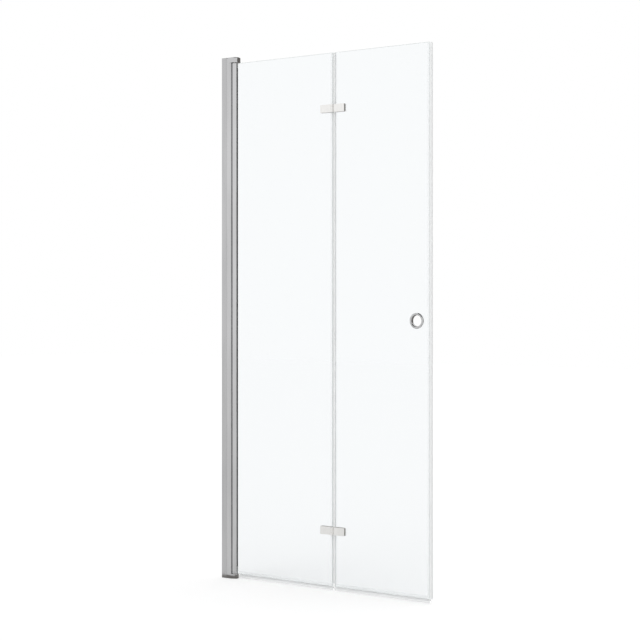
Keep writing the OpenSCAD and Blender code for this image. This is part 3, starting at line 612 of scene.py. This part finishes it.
# %% [markdown]
# The free edge seal is one outline round the outside, the pocket and the legs, with the pocket's hollow
# as its hole.

# %% Free edge seal
POCKET_HALF = 5.0
POCKET_WIDTH = 9.0
LEG_ROOT, POCKET_ROOT, POCKET_CORNER, HOLLOW_CORNER = 0.2, 0.3, 0.8, 0.3
edge_corners = [
    (-EDGE_LEG, GRIP), (WEB_GAP, GRIP), (WEB_GAP, -GRIP), (-EDGE_LEG, -GRIP),
    (-EDGE_LEG, -OUTSIDE), (WEB_GAP, -OUTSIDE), (WEB_GAP, -POCKET_HALF),
    (POCKET_WIDTH + WEB_GAP, -POCKET_HALF), (POCKET_WIDTH + WEB_GAP, POCKET_HALF),
    (WEB_GAP, POCKET_HALF), (WEB_GAP, OUTSIDE), (-EDGE_LEG, OUTSIDE),
]
edge_radii = [
    TIP, INNER_CORNER, INNER_CORNER, TIP, TIP, LEG_ROOT, POCKET_ROOT,
    POCKET_CORNER, POCKET_CORNER, POCKET_ROOT, LEG_ROOT, TIP,
]
hollow_x0 = WEB_GAP + SEAL_WALL
hollow_x1 = WEB_GAP + POCKET_WIDTH - SEAL_WALL
hollow_y = POCKET_HALF - SEAL_WALL
edge_hollow = rounded([
    (hollow_x0, -hollow_y), (hollow_x1, -hollow_y), (hollow_x1, hollow_y), (hollow_x0, hollow_y),
], HOLLOW_CORNER)
low_edge, high_edge = mm_box("free_edge_seal")
show_piece("free_edge_seal_section", pulled(
    [rounded(edge_corners, edge_radii) + (high_b[0], 0), edge_hollow + (high_b[0], 0)],
    "z", low_edge[2], high_edge[2], CUT_END,
), SEAL, SEAL, ["free_edge_seal"])

# %% [markdown]
# ## The bottom seals
#
# A bottom seal is pressed from two plastics at once: a firm channel that grips the glass, and a soft wiper
# blade and drip fin under it. The blade's tip is round, and the fin thins towards its tip. The second
# channel loses its legs just before the free edge seal, and only its web runs on under it.

# %% Bottom seals
WEB_CORNER = 0.3
WIPER_AT, WIPER_HALF, WIPER_ROUND = -1.5, 0.6, 0.55
FIN_ROOT, FIN_REACH, FIN_TIP, FIN_DROP, FIN_ROUND = 3.25, 9.0, 1.0, 7.0, 0.3
EDGE_SEAL_GAP = 0.2


def bottom_channel(x0, x1, foot, top=None):
    """The firm channel from its foot to its top, along X, or only its web where no top is given."""
    web = foot + SEAL_WALL
    if top is None:
        outline = rounded([(-OUTSIDE, foot), (OUTSIDE, foot), (OUTSIDE, web), (-OUTSIDE, web)], WEB_CORNER)
    else:
        outline = rounded([
            (-OUTSIDE, foot), (OUTSIDE, foot), (OUTSIDE, top), (GRIP, top),
            (GRIP, web), (-GRIP, web), (-GRIP, top), (-OUTSIDE, top),
        ], [OUTER_CORNER, OUTER_CORNER, TIP, TIP, INNER_CORNER, INNER_CORNER, TIP, TIP])
    return pulled([outline], "x", x0, x1, CUT_END)


def bottom_lips(x0, x1, root, tip):
    """The wiper blade and the drip fin, along X. Both hang from the root; the blade ends at the tip."""
    blade = rounded([
        (WIPER_AT - WIPER_HALF, root), (WIPER_AT - WIPER_HALF, tip),
        (WIPER_AT + WIPER_HALF, tip), (WIPER_AT + WIPER_HALF, root),
    ], [0, WIPER_ROUND, WIPER_ROUND, 0])
    fin = rounded([
        (OUTSIDE, root), (FIN_ROOT, root),
        (FIN_REACH - FIN_TIP, root - FIN_DROP), (FIN_REACH, root - FIN_DROP),
    ], [0, 0, FIN_ROUND, FIN_ROUND])
    return joined([pulled([outline], "x", x0, x1, CUT_END) for outline in (blade, fin)])


for leaf in ("first", "second"):
    (x0, _, foot), (x1, _, top) = mm_box(leaf + "_bottom_seal")
    if leaf == "first":
        channel = bottom_channel(x0, x1, foot, top)
    else:
        legs_end = low_edge[0] - EDGE_SEAL_GAP
        channel = joined([bottom_channel(x0, legs_end, foot, top), bottom_channel(legs_end, x1, foot)])
    show_piece(leaf + "_bottom_channel", channel, SEAL_ALONG, SEAL_ALONG, [leaf + "_bottom_seal"])
    (x0, _, tip), (x1, _, _) = mm_box(leaf + "_bottom_lips")
    show_piece(leaf + "_wiper_and_fin", bottom_lips(x0, x1, foot, tip), LIP, LIP, [leaf + "_bottom_lips"])

# %% [markdown]
# ## The ring handle
#
# Two turned rings. The front one has a domed section, so it catches a bright band and dark ones beside it,
# and a sleeve through the glass; the back one is a thin flat ring pressed over the sleeve. Each surface is
# the section turned about the axis of the hole in the glass.

# %% Rings
RING_STEPS = 128


def turned(outline, centre, steps):
    """A closed ring. A point at radius r and depth y of the outline goes to (x + r cos a, y, z + r sin a)
    as the angle a goes round."""
    radius, depth = outline.T
    angle = np.linspace(0, 2 * np.pi, steps, endpoint=False)[:, None]
    points = np.stack([
        centre[0] + radius * np.cos(angle), np.broadcast_to(depth, (steps, len(depth))),
        centre[1] + radius * np.sin(angle),
    ], axis=-1).reshape(-1, 3)
    index = np.arange(steps * len(radius)).reshape(steps, -1)
    there = np.roll(index, -1, axis=0)
    faces = np.stack(
        [index, np.roll(index, -1, axis=1), np.roll(there, -1, axis=1), there], axis=-1).reshape(-1, 4)
    return points, faces if signed_area(outline) < 0 else faces[:, ::-1], np.empty((0, 3), int)


low_back, high_back = mm_box("back_ring")
ring_outer = (high_ring[0] - low_ring[0]) / 2
back_outer = (high_back[0] - low_back[0]) / 2
RING_HOLE = 18.5
SLEEVE = 19.9
SLEEVE_SEAT = 19.95
FRONT_FOOT, BACK_FOOT = -3.5, 3.5
BACK_LIP = 0.6
FRONT_RADII = [3.6, 3.6, 0.3, 0.3, 0.3, 0.3]
BACK_RADII = [0.25, 0.7, 0.2, 0.2, 0.1, 0.2]
front_section = rounded([
    (RING_HOLE, low_ring[1]), (ring_outer, low_ring[1]), (ring_outer, FRONT_FOOT),
    (SLEEVE, FRONT_FOOT), (SLEEVE, high_ring[1]), (RING_HOLE, high_ring[1]),
], FRONT_RADII, steps=12)
back_section = rounded([
    (RING_HOLE, high_back[1]), (back_outer, high_back[1]), (back_outer, BACK_FOOT),
    (SLEEVE_SEAT, BACK_FOOT), (SLEEVE_SEAT, high_back[1] - BACK_LIP), (RING_HOLE, high_back[1] - BACK_LIP),
], BACK_RADII, steps=5)
for name, section, node in (
    ("ring_in_front", front_section, "front_ring"), ("ring_behind", back_section, "back_ring"),
):
    show_piece(name, turned(section, ring_at, RING_STEPS), DULL_CHROME, DULL_CHROME, [node])

# %% [markdown]
# ## The horns and the pivot profile
#
# The two polished extrusions that face each other across the running gap are drawn as one section each.
# The horns' edges are round, and so are the lips of the pivot profile's glazing slot. The screw ports and
# chambers inside are closed off by the caps and plugs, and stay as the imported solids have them.

# %% Horns and pivot profile
PIVOT_X, PIVOT_RADIUS = 47.0, 12.2
COVE_RADIUS, COVE_WALL = 13.2, 1.6
COVE_SHARE = 21.3
HALF_DEPTH = 16.0
HORN_X0, HORN_X1 = 36.7, 41.2
SLOT_Y, SLOT_X = 4.5, 42.5
COVE_TIP, HORN_CORNER, LIP_ROUND, SLOT_CORNER = 0.3, 0.4, 0.3, 0.2
SAWN_END = 0.1


def horn(side):
    """One horn with its share of the cove's wall; side is -1 for the outer and 1 for the inner one."""
    tip = 180 - np.degrees(np.arccos((PIVOT_X - HORN_X1) / COVE_RADIUS))
    root = 180 - np.degrees(np.arccos((PIVOT_X - HORN_X0) / (COVE_RADIUS + COVE_WALL)))
    inside = circle((PIVOT_X, 0), COVE_RADIUS, tip, 180 - COVE_SHARE, steps=16)
    outside = circle((PIVOT_X, 0), COVE_RADIUS + COVE_WALL, 180 - COVE_SHARE, root, steps=8)
    corners = [*inside, *outside, (HORN_X0, HALF_DEPTH), (HORN_X1, HALF_DEPTH)]
    radii = [COVE_TIP] + [0] * (len(inside) + len(outside)) + [HORN_CORNER]
    return rounded(corners, radii) * (1, side)


def pivot_outline():
    """The round profile with its glazing slot: an arc from one lip to the other, then the slot."""
    lip = np.degrees(np.arcsin(SLOT_Y / PIVOT_RADIUS))
    arc = circle((PIVOT_X, 0), PIVOT_RADIUS, lip, 360 - lip, steps=72)
    corners = [*arc, (SLOT_X, -SLOT_Y), (SLOT_X, SLOT_Y)]
    radii = [LIP_ROUND] + [0] * (len(arc) - 2) + [LIP_ROUND, SLOT_CORNER, SLOT_CORNER]
    return rounded(corners, radii)


low_horn, high_horn = mm_box("frame_horns")
show_piece("horns_with_cove", joined([
    pulled([horn(side)], "z", low_horn[2], high_horn[2], SAWN_END) for side in (-1, 1)
]), FRAME_ALUMINIUM, FRAME_ALUMINIUM, ["frame_horns"])
low_pivot, high_pivot = mm_box("pivot_profile")
show_piece(
    "round_pivot_profile", pulled([pivot_outline()], "z", low_pivot[2], high_pivot[2], SAWN_END),
    PIVOT_ALUMINIUM, PIVOT_ALUMINIUM, ["pivot_profile", "pivot_webs"],
)

# %% [markdown]
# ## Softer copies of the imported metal
#
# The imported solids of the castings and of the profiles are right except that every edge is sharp. A copy
# of each is merged into one skin, its flat faces are joined, and a narrow bevel rounds the edges. Edges
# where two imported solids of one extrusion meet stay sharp, so that no groove shows there. Faces less than
# two degrees apart count as one: at half a degree a sliver stays on the upper first wing, and its bevel
# throws a point far out.

# %% Soften a node
FLAT = radians(2)
MERGED_MM = 0.002


def soften(node, width_mm, finish, rounded_edge=lambda low, high: np.ones(len(low), bool)):
    """A copy of a node with round edges. rounded_edge picks the edges from their ends in millimetres."""
    skin = bmesh.new()
    skin.from_mesh(frame["nodes"][node].data)
    bmesh.ops.remove_doubles(skin, verts=skin.verts, dist=MERGED_MM * MM)
    bmesh.ops.dissolve_limit(skin, angle_limit=FLAT, verts=skin.verts, edges=skin.edges)
    bmesh.ops.recalc_face_normals(skin, faces=skin.faces)
    mesh = bpy.data.meshes.new(node + "_soft")
    skin.to_mesh(mesh)
    skin.free()
    mesh.materials.clear()
    mesh.materials.append(finish)
    mesh.polygons.foreach_set("use_smooth", [True] * len(mesh.polygons))
    mesh.set_sharp_from_angle(angle=CREASE)
    points = np.empty(3 * len(mesh.vertices))
    mesh.vertices.foreach_get("co", points)
    ends = np.empty(2 * len(mesh.edges), int)
    mesh.edges.foreach_get("vertices", ends)
    at = points.reshape(-1, 3)[ends.reshape(-1, 2)] / MM
    sharp = np.empty(len(mesh.edges), bool)
    mesh.edges.foreach_get("use_edge_sharp", sharp)
    chosen = sharp & rounded_edge(at.min(axis=1), at.max(axis=1))
    weights = mesh.attributes.new("bevel_weight_edge", "FLOAT", "EDGE")
    weights.data.foreach_set("value", chosen.astype(np.float32))
    piece = bpy.data.objects.new(node + "_soft", mesh)
    bpy.context.scene.collection.objects.link(piece)
    bevel = piece.modifiers.new("round edges", "BEVEL")
    bevel.width = width_mm * MM
    bevel.segments = 2
    bevel.limit_method = "WEIGHT"
    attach(piece, body_of[node])
    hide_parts(node)


# %% [markdown]
# The polished castings get 0.5 mm, and the hinge wings in front 0.9 mm, because they are handled. The
# extrusions get 0.3 mm or less, and only on edges that no other part of the same extrusion meets.

# %% Soften the castings and the extrusions
CASTING_ROUND, HANDLED_ROUND = 0.5, 0.9
PROFILE_ROUND, COVER_ROUND = 0.3, 0.2
CLEAR_OF_WEB = 1.0

for end in ("top", "bottom"):
    soften(end + "_cap", CASTING_ROUND, DULL_CHROME)
for place in ("upper", "lower"):
    for leaf in ("first", "second"):
        soften(f"{place}_{leaf}_wing", HANDLED_ROUND, CHROME)
        soften(f"{place}_{leaf}_clamp", CASTING_ROUND, CHROME)
for end in ("top", "bottom"):
    soften(end + "_end_plug", PROFILE_ROUND, DULL_CHROME)
soften("clamp_screw_covers", COVER_ROUND, ALUMINIUM)
channel_web = mm_box("wall_channel")[1][0]
soften("channel_sides", PROFILE_ROUND, ALUMINIUM,
       lambda low, high: low[:, 0] > channel_web + CLEAR_OF_WEB)
for node in ("frame_profile", "frame_ports", "frame_walls"):
    frame["nodes"][node].data.materials[0] = FRAME_ALUMINIUM

# %% [markdown]
# ## The studio
#
# The floor and the surroundings are white. The world is a plain white sky at strength 1. The floor glows,
# for the camera and for reflections only, by about as much as its own grey lacks of white, so it looks white
# to the camera and still takes the door's soft shadow. Seen through the panes it glows a little less, and
# in metal less still: that is painted shade on the floor seen there. The panes throw no shadow, because this
# renderer gives clear glass a solid one, and a real pane's is hardly seen.

# %% Floor, world and lamps
FLOOR_SIDE = 30.0
FLOOR_GREY = 0.5
FLOOR_GLOW = 0.46
GLOW_THROUGH_GLASS_WITH_PAINTED_SHADE = 0.405
GLOW_IN_METAL_WITH_PAINTED_SHADE = 0.28


def white_floor():
    """Grey floor that glows for camera, transmission and glossy rays, but not for the rays that carry
    light. Its glow is weaker through glass and weaker still in metal, which paints shade on the floor seen
    there. A ray through glass is a glossy one too, so the strongest glow that fits a ray counts."""
    material, tree = new_material("white floor")
    paint = add_node(tree, "BsdfDiffuse", {"Color": (FLOOR_GREY, FLOOR_GREY, FLOOR_GREY, 1)})
    path = add_node(tree, "LightPath")
    # The weaker glows through glass and in metal paint shade on the floor seen there.
    glow_by_ray = {"Camera": FLOOR_GLOW, "Transmission": GLOW_THROUGH_GLASS_WITH_PAINTED_SHADE, "Glossy": GLOW_IN_METAL_WITH_PAINTED_SHADE}
    strength = 0.0
    for ray, share in glow_by_ray.items():
        glow = add_node(tree, "Math", {0: path.outputs[f"Is {ray} Ray"], 1: share}, operation="MULTIPLY")
        strength = add_node(tree, "Math", {0: glow.outputs[0], 1: strength}, operation="MAXIMUM").outputs[0]
    glow = add_node(tree, "Emission", {"Color": (1, 1, 1, 1), "Strength": strength})
    both = add_node(tree, "AddShader", {0: paint.outputs[0], 1: glow.outputs[0]})
    finish_material(tree, both)
    return material


def flat_card(name, corners, material):
    """One flat sheet of the studio."""
    mesh = bpy.data.meshes.new(name)
    mesh.from_pydata(corners, [], [tuple(range(len(corners)))])
    mesh.materials.append(material)
    card = bpy.data.objects.new(name, mesh)
    bpy.context.scene.collection.objects.link(card)
    return card


half = FLOOR_SIDE / 2
flat_card("floor", [(-half, -half, 0), (half, -half, 0), (half, half, 0), (-half, half, 0)], white_floor())

world = bpy.data.worlds.new("white studio")
bpy.context.scene.world = world
world.use_nodes = True
world.node_tree.nodes.clear()
sky = add_node(world.node_tree, "Background", {"Color": (1, 1, 1, 1), "Strength": 1.0})
add_node(world.node_tree, "OutputWorld", {"Surface": sky.outputs[0]})

LAMP_STRENGTH = 0.8
LAMP_SPREAD = radians(50)
LAMP_TILT, LAMP_TURN = radians(42), radians(-35)
lamp_data = bpy.data.lights.new("soft lamp", "SUN")
lamp_data.energy = LAMP_STRENGTH
lamp_data.angle = LAMP_SPREAD
lamp = bpy.data.objects.new("soft lamp", lamp_data)
lamp.rotation_euler = (LAMP_TILT, 0, LAMP_TURN)
lamp.visible_glossy = False
bpy.context.scene.collection.objects.link(lamp)

# %% [markdown]
# ## Flags
#
# Chrome shows its surroundings, and in a white room it would be white all over. Photographers put flags,
# sheets of dull felt, round such an object. Grey ones stand to the right and behind, and lie on the floor
# behind the door, and a dark one hangs overhead, so each rounded edge gets a darker line. A paler sheet at
# the door's foot is painted shadow: it stands in for the floor's contact shadow where the bottom cap
# reflects the floor. Only rays that have been reflected see the flags, also through the panes.

# %% Flags
FLAG_SIDE = 7.0
FLAG_FRONT = 0.08
FLAG_BACK = 9.0
FLAG_TOP = 5.0
FLAG_OVERHEAD = 6.0
RIGHT_FLAG_FROM, OVERHEAD_FLAG_FROM = -0.6, -1.0
# Where the painted contact shadow at the door's foot lies.
FOOT_SHADOW_X, FOOT_SHADOW_FRONT = (-0.4, 0.12), -0.06


def felt(name, colour):
    """Brown grey felt, or a painted shadow, that is clear until a ray has been reflected once."""
    material, tree = new_material(name)
    dull = add_node(tree, "BsdfDiffuse", {"Color": linear(colour)})
    clear = add_node(tree, "BsdfTransparent")
    reflected = add_node(tree, "Math", {
        0: add_node(tree, "LightPath").outputs["Glossy Depth"], 1: 0.5,
    }, operation="GREATER_THAN")
    finish_material(tree, add_node(tree, "MixShader", {
        0: reflected.outputs[0], 1: clear.outputs[0], 2: dull.outputs[0],
    }))
    return material


def flag(name, corners, material):
    """A sheet of felt, or of painted shadow, hidden from the camera and from the light."""
    card = flat_card(name, corners, material)
    card.visible_camera = False
    card.visible_diffuse = False
    card.visible_shadow = False


def hang(name, x0, y0, x1, y1, material):
    """A flag that hangs down to the floor between two of its points."""
    flag(name, [(x0, y0, 0), (x1, y1, 0), (x1, y1, FLAG_TOP), (x0, y0, FLAG_TOP)], material)


def lay(name, x0, y0, x1, y1, z, material):
    """A level flag between two of its corners."""
    flag(name, [(x0, y0, z), (x1, y0, z), (x1, y1, z), (x0, y1, z)], material)


GREY_FELT = felt("grey felt", "#7F7C79")
PAINTED_FOOT_SHADOW = felt("painted foot shadow", "#8F8C89")
DARK_FELT = felt("dark felt", "#393634")
hang("flag_right", FLAG_SIDE, RIGHT_FLAG_FROM, FLAG_SIDE, FLAG_BACK, GREY_FELT)
hang("flag_behind", FLAG_SIDE, FLAG_BACK, -FLAG_SIDE, FLAG_BACK, GREY_FELT)
lay("flag_on_floor", -FLAG_SIDE, FLAG_FRONT, FLAG_SIDE, FLAG_BACK, MM, GREY_FELT)
# Painted shadow: a pale grey sheet at the foot, seen only in reflections, standing in for the floor's
# contact shadow.
lay("painted_shadow_at_foot", FOOT_SHADOW_X[0], FOOT_SHADOW_FRONT, FOOT_SHADOW_X[1], FLAG_FRONT, MM, PAINTED_FOOT_SHADOW)
lay("flag_overhead", OVERHEAD_FLAG_FROM, -FLAG_SIDE, FLAG_SIDE, FLAG_SIDE, FLAG_OVERHEAD, DARK_FELT)

bpy.context.scene.view_settings.view_transform = "Standard"
